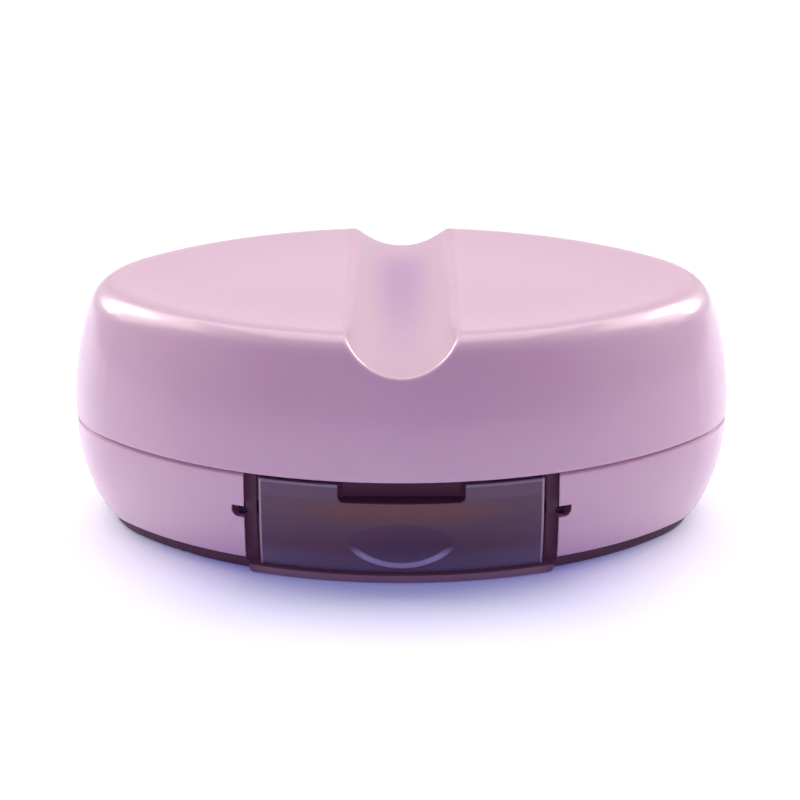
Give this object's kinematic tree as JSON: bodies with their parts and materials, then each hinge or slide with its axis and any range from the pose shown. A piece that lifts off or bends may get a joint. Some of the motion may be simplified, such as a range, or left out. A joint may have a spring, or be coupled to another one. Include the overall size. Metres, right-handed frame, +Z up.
{
  "type": "contact lens case",
  "caption": "Oval hinged travel case for contact lenses with a grooved lid, rocker latch, mirror, screw-cap lens wells and small handling tools.",
  "frame": {"origin": "centre of the oval footprint on the table", "axes": "+Z up, -Y towards the latch, +Y towards the hinge, X along the length"},
  "size_m": [0.0908, 0.07, 0.0338],
  "materials": {
    "shell_pink": "satin mauve pink moulding",
    "inner_plum": "dark plum, fine grain",
    "latch_smoke": "smoky, slightly translucent",
    "steel": "bright drawn steel",
    "mirror": "silvered",
    "deck_white": "pale lilac moulding",
    "container_white": "milky white",
    "cap_pink": "satin pink",
    "cap_white": "satin white",
    "soft_seal": "soft translucent silicone",
    "tool_pink": "glossy pink",
    "soft_tip": "soft white silicone"
  },
  "bodies": {
    "base": {"base_shell": "shell_pink", "base_tray": "inner_plum", "insert_deck": "deck_white", "hinge_pin": "steel", "latch_spring": "steel", "lens_container": "container_white", "tweezers": "tool_pink", "tweezer_tip_front": "soft_tip", "tweezer_tip_back": "soft_tip", "applicator_stick": "tool_pink", "applicator_cup": "soft_tip"},
    "lid": {"lid_shell": "shell_pink", "lid_catch": "inner_plum", "mirror_bezel": "inner_plum", "mirror_glass": "mirror"},
    "latch": {"latch": "latch_smoke"},
    "left_seal": {"left_seal": "soft_seal"},
    "left_cap": {"left_cap": "cap_pink"},
    "right_seal": {"right_seal": "soft_seal"},
    "right_cap": {"right_cap": "cap_white"}
  },
  "joints": [
    {"name": "lid_hinge", "type": "hinge", "parent": "base", "child": "lid", "pos_m": [0, 0.0342, 0.0152], "axis": [-1, 0, 0], "range_deg": [0, 105]},
    {"name": "latch_rock", "type": "hinge", "parent": "base", "child": "latch", "pos_m": [0, -0.0268, 0.0096], "axis": [1, 0, 0], "range_deg": [0, 4.5], "stiffness_Nm_per_rad": 0.05, "springref_deg": -2.86, "deforming": ["latch_spring"]},
    {"name": "left_lift", "type": "slide", "parent": "base", "child": "left_seal", "axis": [0, 0, 1], "range_m": [0, 0.003]},
    {"name": "left_turn", "type": "hinge", "parent": "left_seal", "child": "left_cap", "pos_m": [-0.017, -0.006, 0.012], "axis": [0, 0, 1], "range_deg": [0, 360]},
    {"name": "right_lift", "type": "slide", "parent": "base", "child": "right_seal", "axis": [0, 0, 1], "range_m": [0, 0.003]},
    {"name": "right_turn", "type": "hinge", "parent": "right_seal", "child": "right_cap", "pos_m": [0.017, -0.006, 0.012], "axis": [0, 0, 1], "range_deg": [0, 360]}
  ],
  "couplings": [
    {"joint": "left_lift", "follows": "left_turn", "m_per_rad": 0.00047746},
    {"joint": "right_lift", "follows": "right_turn", "m_per_rad": 0.00047746}
  ]
}
